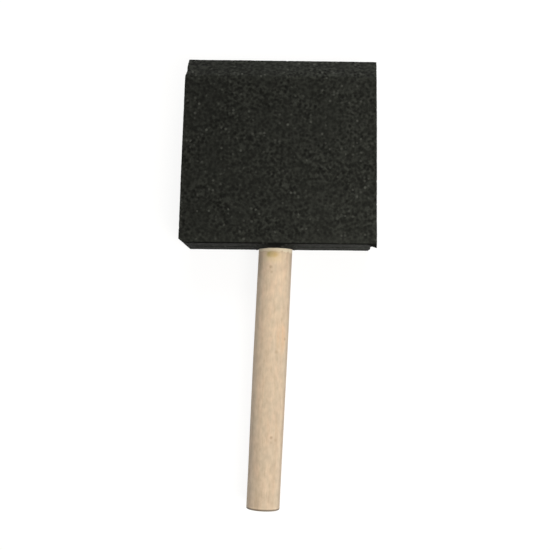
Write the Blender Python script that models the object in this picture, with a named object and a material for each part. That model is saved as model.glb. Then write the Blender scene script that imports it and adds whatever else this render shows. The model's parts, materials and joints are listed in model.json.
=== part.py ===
"""Foam sponge brush, 4 inch size: a chisel-tipped foam pad on a wooden dowel handle.

A moulded plastic stiffener sits in a slit in the foam. Its blade keeps the foam flat and its socket
holds the dowel, and hot-melt glue bonds the four pieces together.

Metres, +Z up. The brush lies on its back face, with the chisel edge towards +Y, and the origin is
under the middle of its bounding box, on the surface that it lies on. The handle leaves the foam a
little out of square, so the handle, stiffener and glue are all modelled square to each other in the
frame of one empty, handle_axis, which is turned. Its origin is the mouth: the point where the
handle's axis leaves the foam. Its +Y runs into the foam and its -Y along the handle.
"""

import math

import bmesh
import bpy
from mathutils import Matrix, Vector

MM = 0.001
FIT_GAP = 0.3 * MM  # left between pieces that touch

# Foam pad. Its sides are cut slightly out of square, as from a hand-fed foam saw.
FOAM_WIDTH = 101.6 * MM  # 4 inch nominal, across the front face at the base
FOAM_LENGTH = 100.8 * MM  # base to chisel edge
FOAM_THICKNESS = 25.4 * MM
CHISEL_LENGTH = 13.3 * MM  # length of each of the two slopes, measured along the pad
LEFT_TAPER = 1.8 * MM  # how far the left side leans in by the top of the front face
LEFT_EDGE_INSET = 2.4 * MM  # how far in from the base's left corner the chisel edge stops
RIGHT_EDGE_OVERHANG = 1.4 * MM  # how far out past the base's right corner the chisel edge runs
LEFT_BACK_INSET = 3.8 * MM  # how much narrower the back face is than the front, on each side
RIGHT_BACK_INSET = 2.0 * MM

# Handle: a plain dowel, sanded slightly thinner towards its free end.
HANDLE_RADIUS = 8.8 * MM
HANDLE_END_RADIUS = 8.45 * MM
HANDLE_OUT = 135.1 * MM  # length outside the foam
HANDLE_TAPER_START = 65.0 * MM  # from the foam
HANDLE_IN = 27.0 * MM  # length hidden in the socket
HANDLE_END_ROUND = 1.0 * MM
HANDLE_LEAD_CHAMFER = 1.2 * MM
HANDLE_SKEW = math.radians(2.2)
MOUTH_OFFSET = -0.9 * MM  # from the middle of the base

# Stiffener: a tapered blade and a socket, moulded as one.
SOCKET_BORE_RADIUS = HANDLE_RADIUS + FIT_GAP
SOCKET_RADIUS = SOCKET_BORE_RADIUS + 1.2 * MM
SOCKET_FLOOR = 1.6 * MM
MOUTH_RECESS = 2.2 * MM  # the socket's rim lies this far inside the foam
BLADE_START = 5.0 * MM
BLADE_END = 66.0 * MM
BLADE_WIDTH = 82.0 * MM
BLADE_ROOT_HALF = 0.9 * MM  # half the blade's thickness at the handle end
BLADE_TIP_HALF = 0.5 * MM
BLADE_CORNER_CUT = 8.0 * MM
RIB_OFFSETS = (17.0 * MM, 31.0 * MM)  # each side of the middle
RIB_WIDTH = 1.4 * MM
RIB_HALF_HEIGHT = 1.9 * MM
RIB_END = 46.0 * MM

# Glue
PLUG_THICKNESS = 1.2 * MM
RING_THICKNESS = 1.0 * MM
BEAD_LENGTH = 62.0 * MM
BEAD_WIDTH = 9.0 * MM
BEAD_THICKNESS = 1.0 * MM
BEAD_Y = 55.0 * MM

# Pocket in the foam for all of these
POCKET_HALF = RIB_HALF_HEIGHT + FIT_GAP
POCKET_MARGIN = 0.8 * MM  # clear space round the blade's edges
SLIT_HALF = 0.6 * MM  # the knife slit at the base, which the foam almost closes

ROUND_STEPS = 48
ARC_STEPS = 5
CUTTER_OVERRUN = 2.0 * MM

# Worked out: how far past the base the handle's end reaches, and where the middle of the base's front
# edge must be to centre the whole brush on the origin.
HANDLE_REACH = (
    (HANDLE_OUT - HANDLE_END_ROUND) * math.cos(HANDLE_SKEW)
    + (HANDLE_END_RADIUS - HANDLE_END_ROUND) * math.sin(HANDLE_SKEW)
    + HANDLE_END_ROUND
)
BASE_X = -RIGHT_EDGE_OVERHANG / 2
BASE_Y = (HANDLE_REACH - FOAM_LENGTH) / 2
MIDDLE_Z = FOAM_THICKNESS / 2
SOCKET_END = HANDLE_IN + FIT_GAP + PLUG_THICKNESS + FIT_GAP + SOCKET_FLOOR


def clear_scene():
    for obj in list(bpy.data.objects):
        bpy.data.objects.remove(obj, do_unlink=True)


def material(name, colour, roughness):
    made = bpy.data.materials.new(name)
    made.use_nodes = True
    shader = made.node_tree.nodes["Principled BSDF"]
    shader.inputs["Base Color"].default_value = (*colour, 1.0)
    shader.inputs["Roughness"].default_value = roughness
    shader.inputs["Metallic"].default_value = 0.0
    made.diffuse_color = (*colour, 1.0)
    return made


def add_object(name, bm, finish=None, parent=None):
    """Turns a bmesh into an object, with its faces pointing outwards."""
    bmesh.ops.recalc_face_normals(bm, faces=bm.faces)
    mesh = bpy.data.meshes.new(name)
    bm.to_mesh(mesh)
    bm.free()
    obj = bpy.data.objects.new(name, mesh)
    bpy.context.scene.collection.objects.link(obj)
    obj.parent = parent
    if finish:
        mesh.materials.append(finish)
    return obj


def smooth(obj, sharp_degrees=35):
    obj.data.shade_smooth()
    obj.data.set_sharp_from_angle(angle=math.radians(sharp_degrees))


def as_helper(obj):
    obj.hide_render = True
    obj.display_type = "WIRE"
    return obj


def combine(obj, other, operation):
    modifier = obj.modifiers.new(f"{operation.lower()}_{other.name}", "BOOLEAN")
    modifier.operation = operation
    modifier.object = other
    modifier.solver = "EXACT"


def bar(width, start, end, start_half, end_half):
    """A flat bar along Y, centred on X and Z, whose half thickness runs from start_half to end_half."""
    bm = bmesh.new()
    rings = []
    for y, half in ((start, start_half), (end, end_half)):
        corners = ((-1, -1), (1, -1), (1, 1), (-1, 1))
        rings.append([bm.verts.new((sx * width / 2, y, sz * half)) for sx, sz in corners])
    near, far = rings
    bm.faces.new(near)
    bm.faces.new(far)
    for i in range(4):
        j = (i + 1) % 4
        bm.faces.new((near[i], near[j], far[j], far[i]))
    return bm


def cylinder(radius, start, end):
    """A cylinder along Y."""
    bm = bmesh.new()
    turn = Matrix.Rotation(math.radians(-90), 4, "X")
    shift = Matrix.Translation((0, (start + end) / 2, 0))
    bmesh.ops.create_cone(
        bm,
        cap_ends=True,
        segments=ROUND_STEPS,
        radius1=radius,
        radius2=radius,
        depth=end - start,
        matrix=shift @ turn,
    )
    return bm


def turned(name, profile, finish, parent, is_ring=False):
    """A solid turned about the empty's Y axis. The profile's points are (radius, place along Y), and run
    down its outer side towards the handle end. A ring's profile closes on itself."""
    bm = bmesh.new()
    points = [bm.verts.new((radius, 0, along)) for radius, along in profile]
    following = points[1:] + points[:1] if is_ring else points[1:]
    for first, second in zip(points, following):
        bm.edges.new((first, second))
    mesh = bpy.data.meshes.new(name)
    bm.to_mesh(mesh)
    bm.free()
    obj = bpy.data.objects.new(name, mesh)
    bpy.context.scene.collection.objects.link(obj)
    mesh.materials.append(finish)
    obj.parent = parent
    obj.rotation_euler = (math.radians(-90), 0, 0)
    screw = obj.modifiers.new("turn", "SCREW")
    screw.axis = "Z"
    screw.steps = ROUND_STEPS
    screw.render_steps = ROUND_STEPS
    screw.use_merge_vertices = True
    screw.merge_threshold = 0.00001
    screw.use_smooth_shade = True
    return obj


def arc(centre, radius, start_degrees, end_degrees):
    """Points of an arc, as (radius, along) pairs, with angles measured from the +radius direction."""
    points = []
    for step in range(ARC_STEPS + 1):
        turn = math.radians(start_degrees + (end_degrees - start_degrees) * step / ARC_STEPS)
        points.append((centre[0] + radius * math.cos(turn), centre[1] + radius * math.sin(turn)))
    return points


def foam_block():
    """The pad's outside: a slab with a two-sided chisel at +Y."""
    bm = bmesh.new()
    left = BASE_X - FOAM_WIDTH / 2
    right = BASE_X + FOAM_WIDTH / 2
    shoulder = BASE_Y + FOAM_LENGTH - CHISEL_LENGTH
    edge_y = BASE_Y + FOAM_LENGTH

    def face_corners(z, left_inset, right_inset):
        places = (
            (left + left_inset, BASE_Y),
            (right - right_inset, BASE_Y),
            (right - right_inset, shoulder),
            (left + LEFT_TAPER + left_inset, shoulder),
        )
        return [bm.verts.new((x, y, z)) for x, y in places]

    front = face_corners(FOAM_THICKNESS, 0.0, 0.0)
    back = face_corners(0.0, LEFT_BACK_INSET, RIGHT_BACK_INSET)
    edge_right = bm.verts.new((right + RIGHT_EDGE_OVERHANG, edge_y, MIDDLE_Z))
    edge_left = bm.verts.new((left + LEFT_EDGE_INSET, edge_y, MIDDLE_Z))
    bm.faces.new(front)
    bm.faces.new(back)
    bm.faces.new((front[0], front[1], back[1], back[0]))
    bm.faces.new((front[3], front[2], edge_right, edge_left))
    bm.faces.new((back[3], back[2], edge_right, edge_left))
    bm.faces.new((front[1], front[2], back[2], back[1]))
    bm.faces.new((front[2], edge_right, back[2]))
    bm.faces.new((front[0], front[3], back[3], back[0]))
    bm.faces.new((front[3], edge_left, back[3]))
    return bm


def make_foam_pad(handle_axis):
    finish = material("foam_charcoal", (0.028, 0.028, 0.025), 0.95)
    foam = add_object("foam_pad", foam_block(), finish)
    pocket_width = BLADE_WIDTH + 2 * POCKET_MARGIN
    start = BLADE_START - POCKET_MARGIN
    end = BLADE_END + POCKET_MARGIN
    pocket = bar(pocket_width, start, end, POCKET_HALF, POCKET_HALF)
    slit = bar(BLADE_WIDTH, -CUTTER_OVERRUN, start + CUTTER_OVERRUN, SLIT_HALF, SLIT_HALF)
    bore = cylinder(SOCKET_RADIUS + FIT_GAP, -CUTTER_OVERRUN, SOCKET_END + POCKET_MARGIN)
    for name, shape in (("pocket_cutter", pocket), ("slit_cutter", slit), ("bore_cutter", bore)):
        cutter = as_helper(add_object(name, shape, parent=handle_axis))
        combine(foam, cutter, "DIFFERENCE")


def make_handle(handle_axis):
    finish = material("birch_wood", (0.68, 0.50, 0.34), 0.6)
    end = -HANDLE_OUT
    hidden_end = [
        (0.0, HANDLE_IN),
        (HANDLE_RADIUS - HANDLE_LEAD_CHAMFER, HANDLE_IN),
        (HANDLE_RADIUS, HANDLE_IN - HANDLE_LEAD_CHAMFER),
    ]
    taper = [(HANDLE_RADIUS, -HANDLE_TAPER_START)]
    rim_centre = (HANDLE_END_RADIUS - HANDLE_END_ROUND, end + HANDLE_END_ROUND)
    rim = arc(rim_centre, HANDLE_END_ROUND, 0, -90)
    turned("handle", [*hidden_end, *taper, *rim, (0.0, end)], finish, handle_axis)


def make_stiffener(handle_axis):
    finish = material("stiffener_plastic", (0.045, 0.045, 0.048), 0.45)
    blade = bar(BLADE_WIDTH, BLADE_START, BLADE_END, BLADE_ROOT_HALF, BLADE_TIP_HALF)
    far_corners = []
    for line in blade.edges:
        first, second = line.verts
        upright = abs(first.co.x - second.co.x) + abs(first.co.y - second.co.y) < 0.1 * MM
        if upright and first.co.y > (BLADE_START + BLADE_END) / 2:
            far_corners.append(line)
    bmesh.ops.bevel(
        blade, geom=far_corners, offset=BLADE_CORNER_CUT, segments=6, profile=0.5, affect="EDGES"
    )
    stiffener = add_object("stiffener", blade, finish, handle_axis)
    for offset in RIB_OFFSETS:
        for side, word in ((-1, "left"), (1, "right")):
            rib = bar(RIB_WIDTH, BLADE_START + FIT_GAP, RIB_END, RIB_HALF_HEIGHT, BLADE_TIP_HALF / 2)
            bmesh.ops.translate(rib, verts=rib.verts, vec=Vector((side * offset, 0, 0)))
            name = f"rib_{word}_{round(offset / MM)}"
            combine(stiffener, as_helper(add_object(name, rib, parent=handle_axis)), "UNION")
    outside = cylinder(SOCKET_RADIUS, MOUTH_RECESS, SOCKET_END)
    shell = add_object("socket_outside", outside, parent=handle_axis)
    combine(stiffener, as_helper(shell), "UNION")
    hole = cylinder(SOCKET_BORE_RADIUS, -CUTTER_OVERRUN, SOCKET_END - SOCKET_FLOOR)
    hole_cutter = add_object("socket_hole", hole, parent=handle_axis)
    combine(stiffener, as_helper(hole_cutter), "DIFFERENCE")
    smooth(stiffener)


def make_glue_plug(handle_axis):
    finish = material("hot_melt_plug", (0.62, 0.50, 0.27), 0.35)
    start = HANDLE_IN + FIT_GAP
    plug = cylinder(HANDLE_RADIUS, start, start + PLUG_THICKNESS)
    smooth(add_object("glue_plug", plug, finish, handle_axis))


def make_glue_ring(handle_axis):
    finish = material("hot_melt_ring", (0.62, 0.50, 0.27), 0.35)
    inner = HANDLE_RADIUS + FIT_GAP
    outer = SOCKET_RADIUS
    high = MOUTH_RECESS - FIT_GAP
    low = high - RING_THICKNESS
    profile = [(inner, high), (outer, high), (outer, low + RING_THICKNESS / 2), (inner, low)]
    turned("glue_ring", profile, finish, handle_axis, is_ring=True)


def make_glue_bead(name, side, handle_axis):
    """A bead squeezed flat between the blade and the foam."""
    finish = material(name.replace("glue", "hot_melt"), (0.62, 0.50, 0.27), 0.35)
    taper = (BEAD_Y - BLADE_START) / (BLADE_END - BLADE_START)
    blade_half = BLADE_ROOT_HALF + (BLADE_TIP_HALF - BLADE_ROOT_HALF) * taper
    bead = bmesh.new()
    bmesh.ops.create_uvsphere(bead, u_segments=32, v_segments=12, radius=0.5)
    bmesh.ops.scale(bead, verts=bead.verts, vec=Vector((BEAD_LENGTH, BEAD_WIDTH, BEAD_THICKNESS)))
    height = side * (blade_half + FIT_GAP + BEAD_THICKNESS / 2)
    obj = add_object(name, bead, finish, handle_axis)
    obj.location = (0, BEAD_Y, height)
    smooth(obj)


def make_brush():
    clear_scene()
    handle_axis = bpy.data.objects.new("handle_axis", None)
    bpy.context.scene.collection.objects.link(handle_axis)
    handle_axis.location = (BASE_X + MOUTH_OFFSET, BASE_Y, MIDDLE_Z)
    handle_axis.rotation_euler = (0, 0, -HANDLE_SKEW)
    make_foam_pad(handle_axis)
    make_handle(handle_axis)
    make_stiffener(handle_axis)
    make_glue_plug(handle_axis)
    make_glue_ring(handle_axis)
    make_glue_bead("glue_bead_front", 1, handle_axis)
    make_glue_bead("glue_bead_back", -1, handle_axis)


make_brush()
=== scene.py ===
"""Looks of the foam sponge brush: sawn charcoal foam, a pale wooden dowel, and the hidden plastic and glue.

Metres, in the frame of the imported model: the brush lies on its back face on z = 0, with its chisel edge
towards +Y. Lengths below are written in millimetres times MM.
"""

import json
import math

import bmesh
import bpy
import numpy as np
from mathutils import Matrix, Vector, noise


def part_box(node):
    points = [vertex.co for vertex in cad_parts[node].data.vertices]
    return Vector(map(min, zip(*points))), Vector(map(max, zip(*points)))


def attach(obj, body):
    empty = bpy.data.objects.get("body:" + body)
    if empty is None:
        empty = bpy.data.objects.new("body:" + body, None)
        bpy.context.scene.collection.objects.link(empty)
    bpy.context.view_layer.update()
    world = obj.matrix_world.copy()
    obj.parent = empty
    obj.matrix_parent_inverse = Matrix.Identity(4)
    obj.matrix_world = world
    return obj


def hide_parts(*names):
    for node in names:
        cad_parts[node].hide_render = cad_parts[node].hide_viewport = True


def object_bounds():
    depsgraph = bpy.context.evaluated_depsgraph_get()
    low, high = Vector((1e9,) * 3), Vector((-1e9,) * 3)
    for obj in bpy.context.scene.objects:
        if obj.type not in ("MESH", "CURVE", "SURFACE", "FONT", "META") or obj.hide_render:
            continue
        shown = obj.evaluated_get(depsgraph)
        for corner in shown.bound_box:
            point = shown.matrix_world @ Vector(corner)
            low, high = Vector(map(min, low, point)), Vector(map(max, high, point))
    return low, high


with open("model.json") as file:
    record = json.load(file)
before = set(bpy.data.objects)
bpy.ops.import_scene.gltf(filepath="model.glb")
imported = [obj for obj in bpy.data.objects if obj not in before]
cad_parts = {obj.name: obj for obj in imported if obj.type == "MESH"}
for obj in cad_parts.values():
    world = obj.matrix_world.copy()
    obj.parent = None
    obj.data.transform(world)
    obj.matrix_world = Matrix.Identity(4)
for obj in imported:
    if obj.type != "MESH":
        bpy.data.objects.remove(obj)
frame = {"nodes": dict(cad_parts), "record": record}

MM = 0.001
cad_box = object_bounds()

# Foam pad: how its outline differs from a straight block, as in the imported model
CHISEL_LENGTH = 13.3 * MM
LEFT_TAPER = 1.8 * MM
LEFT_EDGE_INSET = 2.4 * MM
RIGHT_EDGE_OVERHANG = 1.4 * MM
LEFT_BACK_INSET = 3.8 * MM
RIGHT_BACK_INSET = 2.0 * MM

# Foam surface. A REACH is how fast a bend fades away from the base, a crease or the middle of a dip: it
# falls to about a third over that length.
GRID = 0.58 * MM  # spacing of the foam's mesh
BASE_SWELL = 0.4 * MM  # how far the whole base bulges out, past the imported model's flat one
BASE_SWELL_REACH = 8.0 * MM
SLOW_BEND = 0.08 * MM  # how far the sides and ends wander
FACE_BEND = 0.20 * MM  # how far the front face does
FACE_SINK = 0.45 * MM  # how far the front face sinks at the base's edge
FACE_SINK_REACH = 3.0 * MM
NIP_DEPTH = 2.1 * MM  # how much is nipped off the front of the base's left corner
NIP_WIDTH = 3.4 * MM
NIP_REACH = 3.5 * MM
TAB_DROP = 1.6 * MM  # how far the front of its right corner hangs down
TAB_WIDTH = 4.5 * MM
TAB_REACH = 3.0 * MM
HOLLOW_DEPTH = 1.3 * MM  # how hollow the right corner is behind that
HOLLOW_WIDTH = 6.0 * MM
HOLLOW_REACH = 7.0 * MM
HOLLOW_PLACE = 0.42  # from the front face, 0, to the back face, 1
HOLLOW_SPREAD = 0.22
EDGE_SHORT = 0.12 * MM  # how far the chisel edge stops short at its left end
EDGE_SKEW = 0.33 * MM  # how much further it does at its right end
CREASE_ROUND = 0.35 * MM  # how far the creases are rounded off
CREASE_REACH = 3.0 * MM
SIDE_DIP = 0.5 * MM  # how far the left side dips, just past the crease
SIDE_DIP_PLACE = 3.5 * MM  # from the crease
SIDE_DIP_REACH = 3.0 * MM
SIDE_DIP_WIDTH = 8.0 * MM
FINE_GRAIN = 0.07 * MM
COARSE_GRAIN = 0.05 * MM
PIT_SPACING = 2.1 * MM
PIT_DEPTH = 0.32 * MM
PIT_RADIUS = 0.42  # in pit spacings

# The lip that the handle pushes out of the base, and the knife slit
LIP_HEIGHT = 1.8 * MM  # past the swollen base
LIP_SIDE_SPREAD = 1.2 * MM
LIP_FRONT_SPREAD = 1.8 * MM  # added above and below the handle
LIP_LOWER_SHARE = 0.3  # how much of its height the lip keeps under the handle
LIP_LOWERING = 6.0 * MM  # how far below the handle's axis it has come down to that
LIP_GAP = 0.6 * MM  # between the lip and the wood
LIP_CREST = 0.4 * MM  # from that gap out to the top of the lip
LIP_REACH = 2.5 * MM
SLIT_DEPTH = 1.5 * MM
SLIT_HALF_WIDTH = 0.8 * MM
SLIT_REACH = 0.5 * MM
SLIT_WANDER = 0.35 * MM
SLIT_END = 1.5 * MM  # how far before and past the blade's end the slit runs out

# Spaces inside the foam, a little larger than the pieces in them
CAVITY_GAP = 0.3 * MM
LIP_DEPTH = 0.5 * MM  # the narrow mouth widens for the socket this far inside the pad's base
CAVITY_END_GAP = 0.8 * MM
MOUTH_FLARE = 0.9 * MM  # how much wider in radius the bore's cutter is where it ends outside the pad
CUTTER_OVERRUN = 3.0 * MM  # how far past the lip that is
CUTTER_SEGMENTS = 72

# Handle
HANDLE_LEAD_CHAMFER = 1.2 * MM
HANDLE_END_ROUND = 0.6 * MM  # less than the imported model's 1 mm
HANDLE_TAPER = 0.35 * MM  # how much thinner in radius the free end is
HANDLE_TAPER_START = 65.0 * MM  # from the mouth
HANDLE_SEGMENTS = 96
HANDLE_ROW = 1.1 * MM  # spacing of the rings of its mesh
END_RINGS = (0.15, 0.35, 0.55, 0.75, 0.92, 1.0)  # of the flat end's radius
SANDING_FLATS = 0.07 * MM  # how far the turned surface wanders
RIDGES = 0.018 * MM
END_GRAIN = 0.05 * MM

# Small marks on the wood: (along from the mouth, turn about the axis from the top, radius, depth, darkness)
DENTS = (
    (-12.0 * MM, -13, 1.3 * MM, 0.12 * MM, 0.50),
    (-14.6 * MM, -9, 1.1 * MM, 0.08 * MM, 0.35),
    (-98.5 * MM, 17, 1.3 * MM, 0.12 * MM, 0.75),
    (-99.8 * MM, 33, 1.3 * MM, 0.04 * MM, 0.40),
    (-101.0 * MM, 17, 0.9 * MM, 0.08 * MM, 0.30),
    (-104.0 * MM, -4, 1.8 * MM, 0.05 * MM, 0.12),
    (-48.6 * MM, 54, 1.2 * MM, 0.06 * MM, 0.50),
    (-55.5 * MM, 21, 1.5 * MM, 0.04 * MM, 0.38),
    (-70.0 * MM, 130, 1.3 * MM, 0.12 * MM, 0.40),
    (-31.0 * MM, -110, 1.1 * MM, 0.12 * MM, 0.40),
    (-117.0 * MM, 200, 1.5 * MM, 0.15 * MM, 0.40),
)

# Glue stains on the wood: (along, turn, radius, strength, colour)
GLUE_STAINS = (
    (-6.2 * MM, -6, 4.6 * MM, 0.55, (0.62, 0.49, 0.27)),
    (-5.4 * MM, -17, 2.4 * MM, 0.90, (0.45, 0.37, 0.16)),
    (-5.5 * MM, -4, 2.2 * MM, 0.85, (0.60, 0.43, 0.19)),
    (-8.0 * MM, -36, 2.4 * MM, 0.35, (0.47, 0.42, 0.30)),
)

# Looks of the foam and the wood
TORN_CELL_SIZE = 2.0 * MM
WOOD_STRETCH = 0.045  # how fast the wood's figure changes along the dowel, for 1 across it
RING_SPACING = 1.6 * MM
PITH = (9 * MM, 0.0, -17 * MM)  # from the dowel's axis
FOAM_COLOUR = (0.0158, 0.0170, 0.0147)
# Colour of the painted glints on the foam
CELL_GLINT_COLOUR = (0.070, 0.074, 0.066)
WOOD_BANDS = [(0.25, (0.53, 0.415, 0.305)), (0.55, (0.60, 0.478, 0.352)), (0.8, (0.65, 0.528, 0.398))]
GRAIN_COLOUR = (0.47, 0.345, 0.23)
PORE_COLOUR = (0.43, 0.32, 0.215)
CLOUD_COLOUR = (0.51, 0.425, 0.325)
WARM_COLOUR = (0.65, 0.480, 0.345)
COOL_COLOUR = (0.55, 0.465, 0.345)
PEACH_COLOUR = (0.72, 0.46, 0.27)
RING_COLOUR = (0.40, 0.29, 0.18)
DENT_COLOUR = (0.33, 0.235, 0.155)
# Colour of the band of painted light at the mouth, and of the line at its edge
LIGHT_BAND_COLOUR = (0.86, 0.78, 0.61)
BAND_EDGE_COLOUR = (0.42, 0.34, 0.21)

# Camera, measured from the middle of the front face's base edge
CAMERA_HEIGHT = 431.4 * MM
CAMERA_BACK = 60.05 * MM
CAMERA_LEFT = 0.65 * MM
CAMERA_TILT = math.radians(5.757)
CAMERA_ROLL = math.radians(0.6)
CAMERA_LENS = 55.83  # in millimetres, as the next value is
CAMERA_SENSOR = 36.0

FLOOR_RADIUS = 4.0

foam_low, foam_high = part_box("foam_pad")
handle_low, handle_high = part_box("handle")
socket_low, socket_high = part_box("stiffener")
FOAM_LENGTH = foam_high.y - foam_low.y
FOAM_THICKNESS = foam_high.z - foam_low.z
FOAM_WIDTH = foam_high.x - foam_low.x - RIGHT_EDGE_OVERHANG
BASE_MIDDLE = Vector((foam_low.x + FOAM_WIDTH / 2, foam_low.y, foam_high.z))
MIDDLE_Z = (foam_low.z + foam_high.z) / 2
SHOULDER = FOAM_LENGTH - CHISEL_LENGTH  # from the base to where the slopes start

handle_mount = next(m for m in frame["record"]["mounts"] if m["name"] == "handle_end")
HANDLE_RADIUS = (handle_high.z - handle_low.z) / 2
HANDLE_END = Vector(handle_mount["pos_m"])
HANDLE_AXIS = -Vector(handle_mount["axis"]).normalized()  # from the free end into the foam
HANDLE_SKEW = math.atan2(-HANDLE_AXIS.x, HANDLE_AXIS.y)
HANDLE_OUT = (foam_low.y - HANDLE_END.y) / HANDLE_AXIS.y
MOUTH = HANDLE_END + HANDLE_AXIS * HANDLE_OUT
lead_rise = (HANDLE_RADIUS - HANDLE_LEAD_CHAMFER) * abs(HANDLE_AXIS.x)
HANDLE_IN = (handle_high.y - lead_rise - foam_low.y) / HANDLE_AXIS.y
SOCKET_RADIUS = (socket_high.z - socket_low.z) / 2
AXIS_FRAME = Matrix.Translation(MOUTH) @ Matrix.Rotation(HANDLE_SKEW, 4, "Z")


# ---------------------------------------------------------------- mesh helpers


def add_object(name, bm):
    """Turns a bmesh into an object in the scene."""
    mesh = bpy.data.meshes.new(name)
    bm.to_mesh(mesh)
    bm.free()
    obj = bpy.data.objects.new(name, mesh)
    bpy.context.scene.collection.objects.link(obj)
    return obj


def apply_modifiers(obj):
    """Replaces the object's mesh with what its modifiers make of it."""
    depsgraph = bpy.context.evaluated_depsgraph_get()
    made = bpy.data.meshes.new_from_object(obj.evaluated_get(depsgraph))
    obj.modifiers.clear()
    old = obj.data
    obj.data = made
    bpy.data.meshes.remove(old)
    made.name = obj.name


def read_points(mesh, what="co"):
    values = np.empty(len(mesh.vertices) * 3, np.float32)
    mesh.vertices.foreach_get(what, values)
    return values.reshape(-1, 3).astype(float)


def write_points(mesh, points):
    mesh.vertices.foreach_set("co", points.astype(np.float32).ravel())
    mesh.update()


def noise_at(points, size):
    """Smooth noise from about -1 to 1 at each point, whose bumps are about size metres across. A number
    added to the points gives another such noise."""
    return np.array([noise.noise(Vector(p)) for p in points / size])


def cell_distance(points, size):
    """Distance to the nearest of a set of scattered points about size metres apart, in those sizes."""
    return np.array([noise.voronoi(Vector(p))[0][0] for p in points / size])


def ease(values, start, end):
    """0 at start, 1 at end, and a smooth step between them."""
    share = np.clip((values - start) / (end - start), 0.0, 1.0)
    return share * share * (3.0 - 2.0 * share)


def box_mesh(low, high):
    bm = bmesh.new()
    bmesh.ops.create_cube(bm, size=1.0)
    for vert in bm.verts:
        for i in range(3):
            vert.co[i] = low[i] if vert.co[i] < 0 else high[i]
    return bm


def turned_mesh(rows, segments):
    """A closed solid turned about Y from (along, radius) rows, with a point at each end."""
    bm = bmesh.new()
    rings = []
    for along, radius in rows:
        ring = []
        for step in range(segments):
            turn = 2 * math.pi * step / segments
            ring.append(bm.verts.new((radius * math.sin(turn), along, radius * math.cos(turn))))
        rings.append(ring)
    for near, far in zip(rings, rings[1:]):
        for step in range(segments):
            after = (step + 1) % segments
            bm.faces.new((near[step], near[after], far[after], far[step]))
    for ring, along in ((rings[0], rows[0][0]), (rings[-1], rows[-1][0])):
        tip = bm.verts.new((0.0, along, 0.0))
        for step in range(segments):
            bm.faces.new((ring[step], ring[(step + 1) % segments], tip))
    bmesh.ops.recalc_face_normals(bm, faces=bm.faces)
    return bm


# ---------------------------------------------------------------- material helper


class Finish:
    """A material and short ways to add nodes to it. Each method returns the new node's output."""

    def __init__(self, name, shader_values):
        self.material = bpy.data.materials.new(name)
        self.material.use_nodes = True
        self.tree = self.material.node_tree
        self.shader = self.tree.nodes["Principled BSDF"]
        for socket, value in shader_values.items():
            self.shader.inputs[socket].default_value = value
        coordinates = self.tree.nodes.new("ShaderNodeTexCoord")
        self.place = coordinates.outputs["Object"]

    def feed(self, socket, value):
        """Links an output to an input, or sets a plain value on it."""
        if isinstance(value, bpy.types.NodeSocket):
            self.tree.links.new(value, socket)
        else:
            socket.default_value = value

    def moved(self, vector, location=(0, 0, 0), rotation=(0, 0, 0), scale=(1, 1, 1)):
        made = self.tree.nodes.new("ShaderNodeMapping")
        self.feed(made.inputs["Vector"], vector)
        made.inputs["Location"].default_value = location
        made.inputs["Rotation"].default_value = rotation
        made.inputs["Scale"].default_value = scale
        return made.outputs["Vector"]

    def noise(self, vector, size, detail=3.0, roughness=0.5, distortion=0.0):
        made = self.tree.nodes.new("ShaderNodeTexNoise")
        self.feed(made.inputs["Vector"], vector)
        made.inputs["Scale"].default_value = 1.0 / size
        made.inputs["Detail"].default_value = detail
        made.inputs["Roughness"].default_value = roughness
        made.inputs["Distortion"].default_value = distortion
        return made.outputs["Fac"]

    def cells(self, vector, size, output="Distance"):
        made = self.tree.nodes.new("ShaderNodeTexVoronoi")
        self.feed(made.inputs["Vector"], vector)
        made.inputs["Scale"].default_value = 1.0 / size
        return made.outputs[output]

    def part(self, vector, axis):
        made = self.tree.nodes.new("ShaderNodeSeparateXYZ")
        self.feed(made.inputs[0], vector)
        return made.outputs[axis]

    def math(self, operation, first, second=0.0):
        made = self.tree.nodes.new("ShaderNodeMath")
        made.operation = operation
        self.feed(made.inputs[0], first)
        self.feed(made.inputs[1], second)
        return made.outputs[0]

    def spread(self, value, low, high, to_low=0.0, to_high=1.0, smooth=True):
        """Maps low..high to to_low..to_high, and holds it there beyond them."""
        made = self.tree.nodes.new("ShaderNodeMapRange")
        made.interpolation_type = "SMOOTHSTEP" if smooth else "LINEAR"
        self.feed(made.inputs["Value"], value)
        made.inputs["From Min"].default_value = low
        made.inputs["From Max"].default_value = high
        made.inputs["To Min"].default_value = to_low
        made.inputs["To Max"].default_value = to_high
        return made.outputs["Result"]

    def ramp(self, value, stops):
        """Colours at places along a 0..1 value."""
        made = self.tree.nodes.new("ShaderNodeValToRGB")
        self.feed(made.inputs["Fac"], value)
        elements = made.color_ramp.elements
        while len(elements) < len(stops):
            elements.new(0.5)
        for element, (place, colour) in zip(elements, stops):
            element.position = place
            element.color = (*colour, 1.0)
        return made.outputs["Color"]

    def mix(self, share, first, second, blend="MIX"):
        made = self.tree.nodes.new("ShaderNodeMix")
        made.data_type = "RGBA"
        made.blend_type = blend
        made.clamp_result = False
        self.feed(made.inputs[0], share)
        self.feed(made.inputs[6], as_colour(first))
        self.feed(made.inputs[7], as_colour(second))
        return made.outputs[2]

    def distance(self, vector, centre):
        made = self.tree.nodes.new("ShaderNodeVectorMath")
        made.operation = "DISTANCE"
        self.feed(made.inputs[0], vector)
        made.inputs[1].default_value = centre
        return made.outputs["Value"]

    def spot(self, vector, centre, radius, softness):
        """1 inside a round spot and 0 outside it, with a soft edge."""
        return self.spread(self.distance(vector, centre), radius * (1 - softness), radius, 1.0, 0.0)

    def bump(self, height, strength, distance):
        made = self.tree.nodes.new("ShaderNodeBump")
        made.inputs["Strength"].default_value = strength
        made.inputs["Distance"].default_value = distance
        self.feed(made.inputs["Height"], height)
        return made.outputs["Normal"]

    def use(self, colour, roughness, normal):
        self.feed(self.shader.inputs["Base Color"], colour)
        self.feed(self.shader.inputs["Roughness"], roughness)
        self.feed(self.shader.inputs["Normal"], normal)
        return self.material


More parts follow.
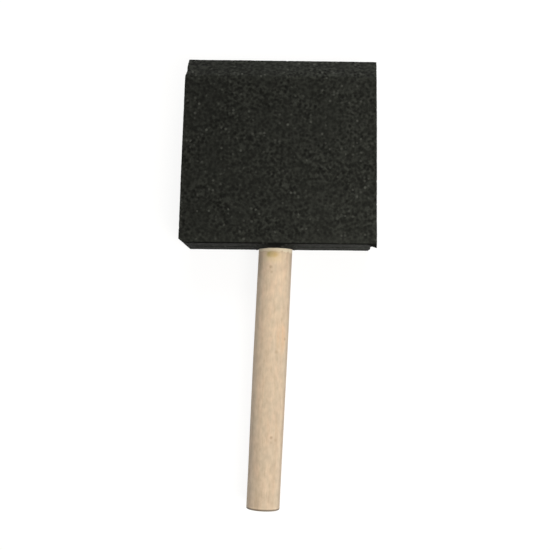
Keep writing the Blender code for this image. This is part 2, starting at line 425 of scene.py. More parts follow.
def as_colour(value):
    """A colour of three numbers gets its fourth; an output stays as it is."""
    if isinstance(value, tuple) and len(value) == 3:
        return (*value, 1.0)
    return value


# ---------------------------------------------------------------- foam pad


def straight_block():
    """The pad with straight sides still: X from its middle, Y from its base, Z from its back."""
    half = FOAM_WIDTH / 2
    outline = (
        (0.0, 0.0),
        (SHOULDER, 0.0),
        (FOAM_LENGTH, FOAM_THICKNESS / 2),
        (SHOULDER, FOAM_THICKNESS),
        (0.0, FOAM_THICKNESS),
    )
    bm = bmesh.new()
    left, right = ([bm.verts.new((x, y, z)) for y, z in outline] for x in (-half, half))
    bm.faces.new(left)
    bm.faces.new(right)
    for i, corner in enumerate(left):
        after = (i + 1) % len(outline)
        bm.faces.new((corner, left[after], right[after], right[i]))
    bmesh.ops.recalc_face_normals(bm, faces=bm.faces)
    return bm


def square_up(points):
    """Puts the even grid's outermost points back on the block's flat faces, so that its edges are sharp."""
    near = 0.75 * GRID
    half = FOAM_WIDTH / 2
    squared = points.copy()
    x, y, z = squared.T
    x[x < near - half] = -half
    x[x > half - near] = half
    y[y < near] = 0.0
    flat = y < SHOULDER
    z[flat & (z < near)] = 0.0
    z[flat & (z > FOAM_THICKNESS - near)] = FOAM_THICKNESS
    return squared


def to_cut_sides(points):
    """Moves the straight block's points so that its sides lean and narrow as the sawn pad's do."""
    across = points[:, 0] / FOAM_WIDTH + 0.5  # 0 at the left side, 1 at the right
    along = points[:, 1]
    depth = 1.0 - points[:, 2] / FOAM_THICKNESS  # 0 at the front face, 1 at the back
    to_shoulder = np.clip(along / SHOULDER, 0.0, 1.0)
    up_slope = np.clip((along - SHOULDER) / CHISEL_LENGTH, 0.0, 1.0)
    left_middle = LEFT_TAPER + LEFT_BACK_INSET / 2
    left = LEFT_TAPER * to_shoulder + LEFT_BACK_INSET * depth
    left += (LEFT_EDGE_INSET - left_middle) * up_slope
    right = FOAM_WIDTH - RIGHT_BACK_INSET * depth
    right += (RIGHT_EDGE_OVERHANG + RIGHT_BACK_INSET / 2) * up_slope
    moved = points.copy()
    moved[:, 0] = foam_low.x + left + (right - left) * across
    moved[:, 1] = foam_low.y + along
    moved[:, 2] = foam_low.z + points[:, 2]
    return moved


def round_handle(points):
    """For each point, its distance from the handle's axis, and how squarely above or below that it lies,
    from 0 beside it to 1."""
    axis = np.array(HANDLE_AXIS)
    offset = points - np.array(MOUTH)
    across = offset - np.outer(offset @ axis, axis)
    away = np.linalg.norm(across, axis=1)
    return away, np.abs(across[:, 2]) / np.maximum(away, 1e-6)


def soften(points):
    """The slow bends of soft foam, and its sawn edges, which aren't quite straight or sharp."""
    x, y, z = points.T
    inward = y - foam_low.y
    depth = (foam_high.z - z) / FOAM_THICKNESS  # 0 at the front face, 1 at the back
    front = ease(depth, 0.5, 0.0)
    moved = points.copy()
    moved[:, 0] += SLOW_BEND * noise_at(points + 0.3, 21 * MM)
    moved[:, 1] += SLOW_BEND * noise_at(points + 0.7, 24 * MM)
    moved[:, 1] -= BASE_SWELL * np.exp(-inward / BASE_SWELL_REACH)
    moved[:, 2] += FACE_BEND * noise_at(points + 1.1, 30 * MM) * front
    # The front face sinks towards the base edge.
    moved[:, 2] -= FACE_SINK * front * np.exp(-inward / FACE_SINK_REACH)
    # The chisel edge is cut a little out of square.
    across = np.clip((x - foam_low.x) / FOAM_WIDTH, 0.0, 1.0)
    moved[:, 1] -= (EDGE_SHORT + EDGE_SKEW * across) * ease(inward, SHOULDER, FOAM_LENGTH)
    # The creases where the slopes start are rounded.
    crease = np.exp(-np.abs(inward - SHOULDER) / CREASE_REACH)
    moved[:, 2] -= CREASE_ROUND * crease * (1.0 - 2.0 * depth)
    return moved + side_shifts(points)


def side_shifts(points):
    """How far each point moves to make the uneven corners at the base and the dip in the left side."""
    x, y, z = points.T
    inward = y - foam_low.y
    depth = (foam_high.z - z) / FOAM_THICKNESS
    from_left = x - foam_low.x - LEFT_BACK_INSET * depth
    from_right = foam_low.x + FOAM_WIDTH - RIGHT_BACK_INSET * depth - x
    shift = np.zeros_like(points)
    # The base's left corner is nipped off at the front.
    nip = np.clip(1.0 - from_left / NIP_WIDTH, 0.0, 1.0) * np.exp(-inward / NIP_REACH)
    shift[:, 1] += NIP_DEPTH * nip * (1.0 - depth)
    # Its right corner hangs down at the front, and is hollow behind that.
    tab = np.clip(1.0 - from_right / TAB_WIDTH, 0.0, 1.0) * np.exp(-inward / TAB_REACH)
    shift[:, 1] -= TAB_DROP * tab * ease(depth, 0.30, 0.02)
    hollow = np.exp(-(((depth - HOLLOW_PLACE) / HOLLOW_SPREAD) ** 2)) * np.exp(-inward / HOLLOW_REACH)
    shift[:, 0] -= HOLLOW_DEPTH * hollow * ease(from_right, HOLLOW_WIDTH, 0.0)
    # The left side dips just past the crease.
    dip = np.exp(-(((inward - SHOULDER - SIDE_DIP_PLACE) / SIDE_DIP_REACH) ** 2))
    shift[:, 0] += SIDE_DIP * dip * ease(from_left, SIDE_DIP_WIDTH, 0.0)
    return shift


def shape_mouth(points):
    """The lip that the handle pushes out of the base, and the knife slit on each side of it."""
    x, y, z = points.T
    at_base = np.exp(-(y - foam_low.y) / LIP_REACH)
    away, upright = round_handle(points)
    crest = HANDLE_RADIUS + LIP_GAP + LIP_CREST
    ring = (away - crest) / (LIP_SIDE_SPREAD + LIP_FRONT_SPREAD * upright**2)
    upper = ease(z, MIDDLE_Z - LIP_LOWERING, MIDDLE_Z)
    height = LIP_HEIGHT * (LIP_LOWER_SHARE + (1 - LIP_LOWER_SHARE) * upper)
    moved = points.copy()
    moved[:, 1] -= height * np.exp(-(ring**2)) * at_base
    wander = SLIT_WANDER * noise_at(points * np.array((1, 0, 0)), 9 * MM)
    off_slit = np.abs(z - MIDDLE_Z - wander) / SLIT_HALF_WIDTH
    in_slit = np.clip(1.0 - off_slit, 0.0, 1.0)
    blade_share = ease(np.abs(x - MOUTH.x), socket_high.x + SLIT_END, socket_high.x - SLIT_END)
    moved[:, 1] += SLIT_DEPTH * in_slit * blade_share * np.exp(-(y - foam_low.y) / SLIT_REACH)
    return moved


def roughen(points, normals):
    """Open cells and saw tears: pits and a fine grain, set into the surface."""
    grain = FINE_GRAIN * noise_at(points, 1.5 * MM)
    grain += COARSE_GRAIN * noise_at(points + 2.3, 4.0 * MM)
    pits = np.clip(1.0 - cell_distance(points, PIT_SPACING) / PIT_RADIUS, 0.0, 1.0)
    chance = ease(noise_at(points + 5.1, 2.6 * MM), -0.1, 0.5)
    height = grain - PIT_DEPTH * pits * chance
    return points + normals * height[:, None]


def cavity_cutters():
    """Closed shapes for the space that the blade, the glue beads, the socket and the dowel take up."""
    inside = AXIS_FRAME.inverted()
    corners = []
    for node_name in ("stiffener", "glue_bead_front", "glue_bead_back"):
        corners += [inside @ vert.co for vert in frame["nodes"][node_name].data.vertices]
    blade = [c for c in corners if abs(c.x) > 2 * SOCKET_RADIUS]
    blade_low = Vector(min(c[i] for c in blade) for i in range(3))
    blade_high = Vector(max(c[i] for c in blade) for i in range(3))
    gap = Vector((CAVITY_END_GAP, CAVITY_END_GAP, CAVITY_GAP))
    pocket = add_object("pocket_cutter", box_mesh(blade_low - gap, blade_high + gap))
    wide = SOCKET_RADIUS + CAVITY_GAP
    narrow = HANDLE_RADIUS + LIP_GAP
    socket_end = max(c.y for c in corners if abs(c.x) < SOCKET_RADIUS and abs(c.z) > 0.5 * SOCKET_RADIUS)
    lip_top = -BASE_SWELL - LIP_HEIGHT
    rows = [
        (lip_top - CUTTER_OVERRUN, narrow + MOUTH_FLARE),
        (lip_top, narrow),
        (0.0, narrow),
        (LIP_DEPTH, wide),
        (socket_end + CAVITY_END_GAP, wide),
    ]
    bore = add_object("bore_cutter", turned_mesh(rows, CUTTER_SEGMENTS))
    for cutter in (pocket, bore):
        cutter.data.transform(AXIS_FRAME)
    return pocket, bore


def drop_crumbs(mesh):
    """Keeps the largest connected piece of a mesh and removes any loose crumbs that cutting left."""
    bm = bmesh.new()
    bm.from_mesh(mesh)
    remaining = set(bm.verts)
    pieces = []
    while remaining:
        to_visit = [remaining.pop()]
        piece = list(to_visit)
        while to_visit:
            vert = to_visit.pop()
            near = [edge.other_vert(vert) for edge in vert.link_edges]
            fresh = [other for other in near if other in remaining]
            remaining.difference_update(fresh)
            to_visit += fresh
            piece += fresh
        pieces.append(piece)
    pieces.sort(key=len)
    for piece in pieces[:-1]:
        bmesh.ops.delete(bm, geom=piece, context="VERTS")
    bm.to_mesh(mesh)
    bm.free()


def make_foam():
    foam = add_object("foam_pad_surface", straight_block())
    remesh = foam.modifiers.new("even_grid", "REMESH")
    remesh.mode = "VOXEL"
    remesh.voxel_size = GRID
    apply_modifiers(foam)
    sawn = to_cut_sides(square_up(read_points(foam.data)))
    write_points(foam.data, soften(shape_mouth(sawn)))
    points = read_points(foam.data)
    normals = read_points(foam.data, "normal")
    write_points(foam.data, roughen(points, normals))
    cutters = cavity_cutters()
    for cutter in cutters:
        cut = foam.modifiers.new(f"cut_{cutter.name}", "BOOLEAN")
        cut.operation = "DIFFERENCE"
        cut.solver = "EXACT"
        cut.object = cutter
    apply_modifiers(foam)
    for cutter in cutters:
        bpy.data.objects.remove(cutter)
    drop_crumbs(foam.data)
    foam.data.shade_smooth()
    foam.data.materials.clear()
    foam.data.materials.append(foam_finish())
    return foam


def foam_finish():
    finish = Finish("foam_open_cell", {"Specular IOR Level": 0.08})
    # Cells are longer in the direction that the foam rose in, which is through the pad.
    place = finish.moved(drawn_on_slopes(finish), scale=(1.0, 1.0, 0.72))
    pores = finish.cells(place, 1.8 * MM)
    clumps = finish.noise(place, 1.78 * MM, detail=1.0, roughness=0.4)
    mottle = finish.noise(place, 4.5 * MM, detail=3.0)
    # Painted shade: the tone is darker where the relief is low, in the pores and between the clumps, and
    # lighter on the struts
    tone = finish.spread(clumps, 0.32, 0.68, 0.65, 1.35)
    tone = finish.math("MULTIPLY", tone, finish.spread(pores, 0.1, 0.8, 0.69, 1.24))
    fine_pores = finish.cells(place, 0.62 * MM)
    tone = finish.math("MULTIPLY", tone, finish.spread(fine_pores, 0.1, 0.7, 0.89, 1.09))
    tone = strengthened(finish, tone, texture_strength(finish, place))
    tone = finish.math("MULTIPLY", tone, finish.spread(mottle, 0.3, 0.7, 0.90, 1.10))
    # Painted light and shade across the pad
    tone = finish.math("MULTIPLY", tone, painted_light_tone(finish))
    # Painted shade along the base's edges
    tone = finish.math("MULTIPLY", tone, painted_edge_shade(finish, clumps))
    shade = finish.mix(1.0, FOAM_COLOUR, tone, "MULTIPLY")
    # Painted glints of cell windows
    colour = finish.mix(cell_glints(finish, place), shade, CELL_GLINT_COLOUR)
    relief = finish.math("ADD", finish.math("MULTIPLY", pores, 0.5), clumps)
    relief = finish.math("ADD", relief, finish.math("MULTIPLY", fine_pores, 0.2))
    normal = finish.bump(relief, 0.6, 0.6 * MM)
    roughness = finish.spread(mottle, 0.3, 0.7, 0.82, 0.98)
    return finish.use(colour, roughness, normal)


def drawn_on_slopes(finish):
    """The place on the pad, with the texture drawn out along the slopes as the blade dragged the foam."""
    past_crease = finish.math("SUBTRACT", finish.part(finish.place, 1), foam_low.y + SHOULDER)
    shift = finish.math("MULTIPLY", finish.math("MAXIMUM", past_crease, 0.0), -0.25)
    joined = finish.tree.nodes.new("ShaderNodeCombineXYZ")
    finish.feed(joined.inputs["Y"], shift)
    added = finish.tree.nodes.new("ShaderNodeVectorMath")
    added.operation = "ADD"
    finish.feed(added.inputs[0], finish.place)
    finish.feed(added.inputs[1], joined.outputs[0])
    return added.outputs[0]


def texture_strength(finish, place):
    """The cut tore the foam more in some places than in others, most on the slopes, least by the base."""
    patches = finish.spread(finish.noise(place, 15 * MM, detail=2.0), 0.35, 0.65, 0.72, 1.28)
    back = finish.part(finish.place, 1)
    crease = foam_low.y + SHOULDER
    on_slope = finish.spread(back, crease - 1 * MM, crease + 1 * MM, 1.0, 1.25)
    by_base = finish.spread(back, foam_low.y + 1 * MM, foam_low.y + 6 * MM, 0.65, 1.0)
    return finish.math("MULTIPLY", patches, finish.math("MULTIPLY", on_slope, by_base))


def strengthened(finish, tone, strength):
    """Moves a tone further from 1 where strength is above 1, and nearer to it where strength is below."""
    change = finish.math("MULTIPLY", finish.math("SUBTRACT", tone, 1.0), strength)
    return finish.math("ADD", change, 1.0)


def painted_light_tone(finish):
    """Painted light and shade: the pad is lighter towards its right side and its base, and on its creases
    and slopes, and darker on the base itself, most on its left."""
    side = finish.part(finish.place, 0)
    back = finish.part(finish.place, 1)
    # Painted light: lighter towards the right side and towards the base
    across = finish.spread(side, foam_low.x, foam_high.x, 0.85, 1.11)
    along = finish.spread(back, foam_low.y, foam_high.y, 1.06, 0.93)
    crease = foam_low.y + SHOULDER
    # Painted light on the slopes and along the base edge
    on_slope = finish.spread(back, crease - 5 * MM, crease + 0.5 * MM, 1.0, 1.13)
    by_base = finish.spread(back, foam_low.y + 1 * MM, foam_low.y + 5 * MM, 1.25, 1.0)
    lit_slope_and_base = finish.math("MULTIPLY", on_slope, by_base)
    # Painted shade on the base face, darkest on the left
    base = foam_low.y - BASE_SWELL
    on_base = finish.spread(back, base + 0.3 * MM, base + 0.6 * MM, 1.0, 0.0)
    base_shade = finish.math("MULTIPLY", on_base, finish.spread(side, foam_low.x, foam_high.x, 0.50, 0.15))
    tone = finish.math("MULTIPLY", across, finish.math("MULTIPLY", along, lit_slope_and_base))
    return finish.math("MULTIPLY", tone, finish.math("SUBTRACT", 1.0, base_shade))


def painted_edge_shade(finish, clumps):
    """Painted shade along the base's long edges: a dark line in front, a fainter one at the back, where the
    pad lies on the floor.
    """
    back = finish.part(finish.place, 1)
    up = finish.part(finish.place, 2)
    base = foam_low.y - BASE_SWELL
    near = finish.spread(back, base + 0.2 * MM, base + 0.9 * MM, 1.0, 0.0)
    high = finish.spread(up, foam_high.z - 2.6 * MM, foam_high.z - 1.6 * MM)
    front = finish.math("MULTIPLY", high, finish.spread(clumps, 0.3, 0.7, 0.55, 0.75))
    # Painted contact shadow along the back edge
    contact_shadow = finish.spread(up, 2.5 * MM, 6.0 * MM, 0.35, 0.0)
    darker = finish.math("MULTIPLY", near, finish.math("ADD", front, contact_shadow))
    return finish.math("SUBTRACT", 1.0, darker)


def cell_glints(finish, place):
    """Painted glints: scattered cell windows that catch the light, each as bright as chance has it, and
    more of them in some places."""
    near = finish.spread(finish.cells(place, TORN_CELL_SIZE), 0.14, 0.50, 1.0, 0.0)
    chance = finish.part(finish.cells(place, TORN_CELL_SIZE, output="Color"), 0)
    bright = finish.math("POWER", finish.spread(chance, 0.5, 1.0, smooth=False), 2.2)
    where = finish.spread(finish.noise(place, 9 * MM, detail=2.0), 0.35, 0.65, 0.25, 1.0)
    return finish.math("MULTIPLY", finish.math("MULTIPLY", near, bright), where)


# ---------------------------------------------------------------- handle


def handle_rows():
    """(along, radius) rows from the free end to the hidden end, with the mouth at 0."""
    end = -HANDLE_OUT
    end_radius = HANDLE_RADIUS - HANDLE_TAPER
    flat_radius = end_radius - HANDLE_END_ROUND
    rows = [(end, flat_radius * share) for share in END_RINGS]
    for step in range(1, 7):
        turn = math.radians(15 * step)
        along = end + HANDLE_END_ROUND * (1 - math.cos(turn))
        rows.append((along, flat_radius + HANDLE_END_ROUND * math.sin(turn)))
    body_start = end + HANDLE_END_ROUND
    body_end = HANDLE_IN - HANDLE_LEAD_CHAMFER
    count = round((body_end - body_start) / HANDLE_ROW)
    for step in range(1, count + 1):
        along = body_start + (body_end - body_start) * step / count
        thinner = min(max((-along - HANDLE_TAPER_START) / (HANDLE_OUT - HANDLE_TAPER_START), 0.0), 1.0)
        rows.append((along, HANDLE_RADIUS - HANDLE_TAPER * thinner))
    tip_radius = HANDLE_RADIUS - HANDLE_LEAD_CHAMFER
    rows += [(HANDLE_IN, tip_radius * share) for share in (1.0, 0.6, 0.25)]
    return rows


def surface_point(along, turn_degrees):
    """A point on the handle's surface, in the handle's own frame."""
    turn = math.radians(turn_degrees)
    return Vector((HANDLE_RADIUS * math.sin(turn), along, HANDLE_RADIUS * math.cos(turn)))


def weather_handle(points):
    """Sanding flats, faint lengthwise ridges and the dents, in the handle's own frame."""
    out = points * np.array((1, 0, 1))
    radius = np.linalg.norm(out, axis=1)
    outward = out / np.maximum(radius, 1e-9)[:, None]
    on_side = ease(radius, 0.80 * HANDLE_RADIUS, 0.95 * HANDLE_RADIUS)
    slow = noise_at(points * np.array((1, 0.35, 1)), 11 * MM)
    ridges = noise_at(points * np.array((1, 0.04, 1)) + 3.7, 1.4 * MM)
    height = (SANDING_FLATS * slow + RIDGES * ridges) * on_side
    for along, turn, size, depth, _ in DENTS:
        away = np.linalg.norm(points - np.array(surface_point(along, turn)), axis=1)
        height -= depth * np.exp(-((away / size) ** 2))
    moved = points + outward * height[:, None]
    end_grain = noise_at(points + 1.9, 0.9 * MM)
    at_end = ease(points[:, 1], -HANDLE_OUT + 0.2 * MM, -HANDLE_OUT)
    moved[:, 1] += END_GRAIN * end_grain * at_end * (1 - on_side)
    return moved


def make_handle():
    handle = add_object("handle_surface", turned_mesh(handle_rows(), HANDLE_SEGMENTS))
    write_points(handle.data, weather_handle(read_points(handle.data)))
    handle.data.transform(AXIS_FRAME)
    handle.data.shade_smooth()
    handle.data.set_sharp_from_angle(angle=math.radians(50))
    handle.data.materials.append(wood_finish())
    return handle


def wood_finish():
    finish = Finish("pale_dowel_wood", {"Specular IOR Level": 0.3})
    inside = AXIS_FRAME.inverted()
    place = finish.moved(finish.place, inside.translation, inside.to_euler())
    drawn_out = finish.moved(place, scale=(1.0, WOOD_STRETCH, 1.0))
    grain = finish.noise(drawn_out, 1.1 * MM, detail=5.0, roughness=0.6, distortion=0.6)
    pores = finish.noise(finish.moved(place, scale=(1.0, 0.07, 1.0)), 0.36 * MM, detail=2.0)
    cloud = finish.noise(finish.moved(place, scale=(1.0, 0.4, 1.0)), 9 * MM, detail=3.0)
    blotch = finish.noise(finish.moved(place, scale=(1.0, 0.55, 1.0)), 2.1 * MM, detail=2.0)
    colour = figured_wood(finish, place, grain, pores, cloud)
    tone = finish.spread(blotch, 0.3, 0.7, 0.91, 1.09, smooth=False)
    # Painted shade on the dowel's flanks
    tone = finish.math("MULTIPLY", tone, flank_shade_tone(finish, place))
    colour = finish.mix(1.0, colour, tone, "MULTIPLY")
    # Painted light at the mouth, and glue stains
    colour = mouth_band_and_stains(finish, place, blotch, colour)
    colour = finish.mix(end_rings(finish, place, cloud), colour, RING_COLOUR)
    for along, turn, size, _, darkness in DENTS:
        mark = finish.spot(place, surface_point(along, turn), size, 0.9)
        colour = finish.mix(finish.math("MULTIPLY", mark, darkness), colour, DENT_COLOUR)
    relief = finish.math("ADD", finish.math("MULTIPLY", grain, 0.6), finish.math("MULTIPLY", pores, 0.5))
    normal = finish.bump(relief, 0.25, 0.12 * MM)
    roughness = finish.spread(grain, 0.3, 0.7, 0.5, 0.66)
    return finish.use(colour, roughness, normal)


def figured_wood(finish, place, grain, pores, cloud):
    """The wood's own colour: broad bands, grain, pores, greyer clouds, and warmer and cooler tints."""
    drawn_out = finish.moved(place, scale=(1.0, WOOD_STRETCH, 1.0))
    bands = finish.noise(drawn_out, 4.0 * MM, detail=2.0, distortion=0.4)
    tint_place = finish.moved(place, (0.0, 0.02, 0.0), scale=(1.0, 0.30, 1.0))
    tint = finish.noise(tint_place, 3.0 * MM, detail=2.0)
    colour = finish.ramp(bands, WOOD_BANDS)
    colour = finish.mix(finish.spread(grain, 0.52, 0.72, 0.0, 0.35), colour, GRAIN_COLOUR)
    colour = finish.mix(finish.spread(pores, 0.56, 0.70, 0.0, 0.42), colour, PORE_COLOUR)
    colour = finish.mix(finish.spread(cloud, 0.45, 0.7, 0.0, 0.4), colour, CLOUD_COLOUR)
    colour = finish.mix(finish.spread(tint, 0.5, 0.68, 0.0, 0.30), colour, WARM_COLOUR)
    colour = finish.mix(finish.spread(tint, 0.5, 0.32, 0.0, 0.30), colour, COOL_COLOUR)
    return finish.mix(peach_streaks(finish, place, grain), colour, PEACH_COLOUR)


def flank_shade_tone(finish, place):
    """Painted shade on both flanks of the dowel, where they turn from the light. The dowel is a little
    darker towards its free end, and lighter on the right of its top near the foam."""
    side = finish.part(place, 0)
    along = finish.part(place, 1)
    # Painted shade on the left and right flanks
    left = finish.spread(side, -HANDLE_RADIUS, -0.55 * HANDLE_RADIUS, 0.72, 1.0)
    right = finish.spread(side, 0.76 * HANDLE_RADIUS, HANDLE_RADIUS, 1.0, 0.76)
    free_half = finish.spread(along, -HANDLE_OUT, -0.5 * HANDLE_OUT, 0.93, 1.0)
    right_of_top = finish.spread(side, -0.3 * HANDLE_RADIUS, 0.4 * HANDLE_RADIUS)
    right_top_lift = finish.math("MULTIPLY", right_of_top, finish.spread(along, -60 * MM, -14 * MM, 0.0, 0.07))
    shaded_flanks = finish.math("MULTIPLY", finish.math("MULTIPLY", left, right), finish.math("ADD", right_top_lift, 1.0))
    return finish.math("MULTIPLY", shaded_flanks, finish.math("MULTIPLY", free_half, end_shade_tone(finish, place)))


def end_shade_tone(finish, place):
    """Painted shade on the rim of the sawn end, where it turns from the light, its end grain a little
    darker, and a painted highlight on the wood beside it.
    """
    along = finish.part(place, 1)
    # Painted highlight beside the rim
    beside = finish.spread(along, -HANDLE_OUT + 1.3 * MM, -HANDLE_OUT + 2.2 * MM, 1.08, 1.0)
    at_end = finish.spread(along, -HANDLE_OUT + 0.75 * MM, -HANDLE_OUT + 1.15 * MM, 1.0, 0.0)
    end_grain = finish.spot(finish.moved(place, scale=(1, 0, 1)), (0, 0, 0), 0.93 * HANDLE_RADIUS, 0.15)
    # Painted shade on the rim
    darker = finish.math("MULTIPLY", at_end, finish.spread(end_grain, 0.0, 1.0, 0.64, 0.22))
    return finish.math("MULTIPLY", beside, finish.math("SUBTRACT", 1.0, darker))


def end_rings(finish, place, cloud):
    """Growth rings on the sawn end, as arcs round a pith that lies outside the dowel."""
    from_pith = finish.distance(finish.moved(place, scale=(1, 0, 1)), PITH)
    wavy = finish.math("ADD", from_pith, finish.spread(cloud, 0.2, 0.8, -1.2 * MM, 1.2 * MM))
    rings = finish.math("SINE", finish.math("MULTIPLY", wavy, 2 * math.pi / RING_SPACING))
    along = finish.part(place, 1)
    at_end = finish.spread(along, -HANDLE_OUT + 0.05 * MM, -HANDLE_OUT + 0.3 * MM, 1.0, 0.0)
    return finish.math("MULTIPLY", at_end, finish.spread(rings, -0.2, 1.0, 0.0, 0.45))


def peach_streaks(finish, place, grain):
    """A patch of warmer streaks on the right of the dowel's top."""
    squeeze = 0.35
    centre = surface_point(-49 * MM, 38)
    centre.y *= squeeze
    patch = finish.spot(finish.moved(place, scale=(1.0, squeeze, 1.0)), centre, 4.0 * MM, 0.8)
    return finish.math("MULTIPLY", patch, finish.spread(grain, 0.4, 0.6, 0.15, 0.6))


def mouth_band_and_stains(finish, place, blotch, colour):
    """A cream band of painted light round the dowel where it enters the foam, against the pad's shade, and
    a yellow-brown stain beyond it.
    """
    side = finish.part(place, 0)
    along = finish.part(place, 1)
    # Painted light: the wood is paler near the foam, against the pad's shade, more so on its left than on
    # its right.
    on_left = finish.spread(side, -HANDLE_RADIUS, 0.0, 0.55, 0.31)
    less_on_right = finish.spread(side, 0.5 * HANDLE_RADIUS, HANDLE_RADIUS, 0.0, 0.28)
    painted_lift = finish.math("SUBTRACT", on_left, less_on_right)
    painted_lift = finish.math("MULTIPLY", painted_lift, finish.spread(along, -11 * MM, -3 * MM))
    colour = finish.mix(1.0, colour, finish.math("ADD", painted_lift, 1.0), "MULTIPLY")
    ragged = finish.math("ADD", along, finish.spread(blotch, 0.2, 0.8, -0.6 * MM, 0.6 * MM))
    # Painted light: a cream band next to the mouth
    light_band = finish.spread(ragged, -4.2 * MM, -3.2 * MM, 0.0, 0.75)
    colour = finish.mix(light_band, colour, LIGHT_BAND_COLOUR)
    # A darker line along the band's edge, fainter towards the right.
    line = finish.spread(ragged, -4.9 * MM, -4.2 * MM, 0.0, 1.0)
    line = finish.math("MULTIPLY", line, finish.spread(ragged, -4.2 * MM, -3.7 * MM, 0.28, 0.0))
    line = finish.math("MULTIPLY", line, finish.spread(side, 0.0, HANDLE_RADIUS, 1.0, 0.3))
    colour = finish.mix(line, colour, BAND_EDGE_COLOUR)
    squeeze = 0.6
    squeezed = finish.moved(place, scale=(squeeze, 1.0, 1.0))
    for stain_along, turn, radius, strength, stain in GLUE_STAINS:
        centre = surface_point(stain_along, turn)
        centre.x *= squeeze
        spot = finish.spot(squeezed, centre, radius, 0.8)
        share = finish.math("MULTIPLY", spot, finish.spread(blotch, 0.35, 0.65, 0.6 * strength, strength))
        colour = finish.mix(share, colour, stain)
    return colour


# ---------------------------------------------------------------- hidden pieces


def plastic_finish():
    finish = Finish("moulded_plastic", {"Specular IOR Level": 0.4})
    cloud = finish.noise(finish.place, 6 * MM, detail=3.0)
    spark = finish.noise(finish.place, 0.35 * MM, detail=2.0)
    colour = finish.ramp(cloud, [(0.3, (0.038, 0.038, 0.041)), (0.7, (0.052, 0.052, 0.055))])
    scuffs = finish.noise(finish.moved(finish.place, scale=(1.0, 0.08, 1.0)), 0.8 * MM, detail=3.0)
    colour = finish.mix(finish.spread(scuffs, 0.62, 0.75, 0.0, 0.35), colour, (0.09, 0.09, 0.092))
    normal = finish.bump(spark, 0.2, 0.05 * MM)
    return finish.use(colour, finish.spread(cloud, 0.3, 0.7, 0.38, 0.52), normal)


def glue_finish():
    glow = {"Subsurface Weight": 0.15, "Subsurface Scale": 1.0 * MM}
    finish = Finish("hot_melt_glue", {"Specular IOR Level": 0.5, **glow})
    cloud = finish.noise(finish.place, 3 * MM, detail=4.0)
    bubbles = finish.cells(finish.place, 1.3 * MM)
    colour = finish.ramp(cloud, [(0.3, (0.55, 0.42, 0.2)), (0.7, (0.70, 0.59, 0.36))])
    colour = finish.mix(finish.spread(bubbles, 0.05, 0.2, 0.4, 0.0), colour, (0.82, 0.76, 0.58))
    normal = finish.bump(cloud, 0.35, 0.4 * MM)
    return finish.use(colour, finish.spread(cloud, 0.3, 0.7, 0.28, 0.42), normal)


def dress_hidden_pieces():
    glue = glue_finish()
    plastic = plastic_finish()
    for name, obj in frame["nodes"].items():
        if name == "stiffener" or name.startswith("glue"):
            finish = plastic if name == "stiffener" else glue
            for slot in obj.material_slots:
                slot.material = finish


# ---------------------------------------------------------------- studio


def make_camera():
    data = bpy.data.cameras.new("photo_view")
    data.lens = CAMERA_LENS
    data.sensor_width = CAMERA_SENSOR
    data.clip_start = 0.01
    data.clip_end = 20.0
    camera = bpy.data.objects.new("photo_view", data)
    bpy.context.scene.collection.objects.link(camera)
    camera.location = BASE_MIDDLE + Vector((-CAMERA_LEFT, -CAMERA_BACK, CAMERA_HEIGHT))
    camera.rotation_euler = (CAMERA_TILT, 0.0, CAMERA_ROLL)
    bpy.context.scene.camera = camera


def make_floor():
    bm = bmesh.new()
    bmesh.ops.create_circle(bm, cap_ends=True, segments=128, radius=FLOOR_RADIUS)
    floor = add_object("floor", bm)
    glow = {"Emission Color": (1.0, 1.0, 1.0, 1.0), "Emission Strength": 0.87}
    finish = Finish("pale_floor", {"Specular IOR Level": 0.1, **glow})
    cloud = finish.noise(finish.place, 0.5, detail=2.0)
    colour = finish.ramp(cloud, [(0.0, (0.15, 0.15, 0.15)), (1.0, (0.19, 0.19, 0.19))])
    finish.feed(finish.shader.inputs["Base Color"], colour)
    finish.shader.inputs["Roughness"].default_value = 0.9
    floor.data.materials.append(finish.material)


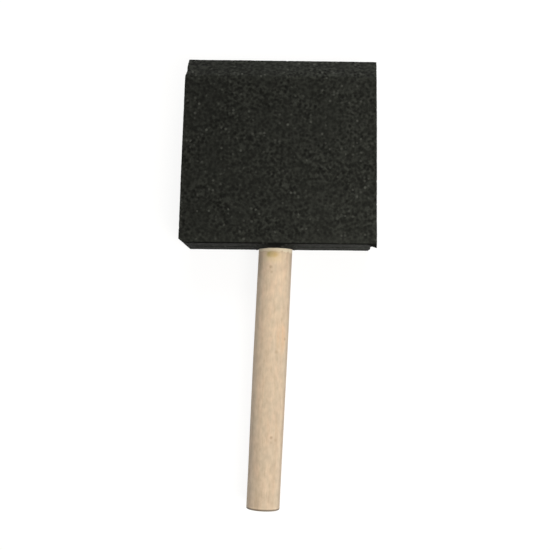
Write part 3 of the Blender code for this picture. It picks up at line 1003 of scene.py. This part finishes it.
# Soft lights: (name, azimuth clockwise from +Y, elevation, distance, size, power, colour)
LIGHTS = (
    ("far_side", 0, 35, 0.75, 0.45, 2.9, (1.0, 0.97, 0.90)),
    ("key", 135, 62, 0.75, 0.45, 2.9, (1.0, 0.94, 0.85)),
    ("near_right", 135, 45, 0.40, 0.25, 0.4, (1.0, 0.94, 0.85)),
)

# Brightness of the room at places between the horizon, 0, and straight up, 1
ROOM = ((0.0, 0.95), (0.05, 0.85), (0.12, 0.62), (0.22, 0.58), (0.45, 0.30), (0.85, 0.15))


def make_lights():
    target = (cad_box[0] + cad_box[1]) / 2
    for name, azimuth, elevation, distance, size, power, colour in LIGHTS:
        data = bpy.data.lights.new(name, "AREA")
        data.shape = "DISK"
        data.size = size
        data.energy = power
        data.color = colour
        light = bpy.data.objects.new(name, data)
        bpy.context.scene.collection.objects.link(light)
        turn, rise = math.radians(azimuth), math.radians(elevation)
        level = math.cos(rise)
        out = Vector((math.sin(turn) * level, math.cos(turn) * level, math.sin(rise)))
        light.location = target + out * distance
        light.rotation_mode = "QUATERNION"
        light.rotation_quaternion = out.to_track_quat("Z", "Y")


def make_world():
    """A soft white room, brighter at the horizon than overhead."""
    world = bpy.data.worlds.new("studio")
    world.use_nodes = True
    tree = world.node_tree
    background = tree.nodes["Background"]
    place = tree.nodes.new("ShaderNodeTexCoord")
    split = tree.nodes.new("ShaderNodeSeparateXYZ")
    ramp = tree.nodes.new("ShaderNodeValToRGB")
    tree.links.new(place.outputs["Generated"], split.inputs[0])
    tree.links.new(split.outputs["Z"], ramp.inputs["Fac"])
    tree.links.new(ramp.outputs["Color"], background.inputs["Color"])
    elements = ramp.color_ramp.elements
    while len(elements) < len(ROOM):
        elements.new(0.5)
    for element, (height, brightness) in zip(elements, ROOM):
        element.position = height
        element.color = (brightness, brightness, brightness, 1.0)
    background.inputs["Strength"].default_value = 1.0
    bpy.context.scene.world = world


make_camera()
foam_surface = make_foam()
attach(foam_surface, "root")
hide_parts("foam_pad")

handle_surface = make_handle()
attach(handle_surface, "root")
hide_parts("handle")

dress_hidden_pieces()
make_floor()
make_lights()
make_world()
bpy.context.scene.view_settings.view_transform = "Standard"
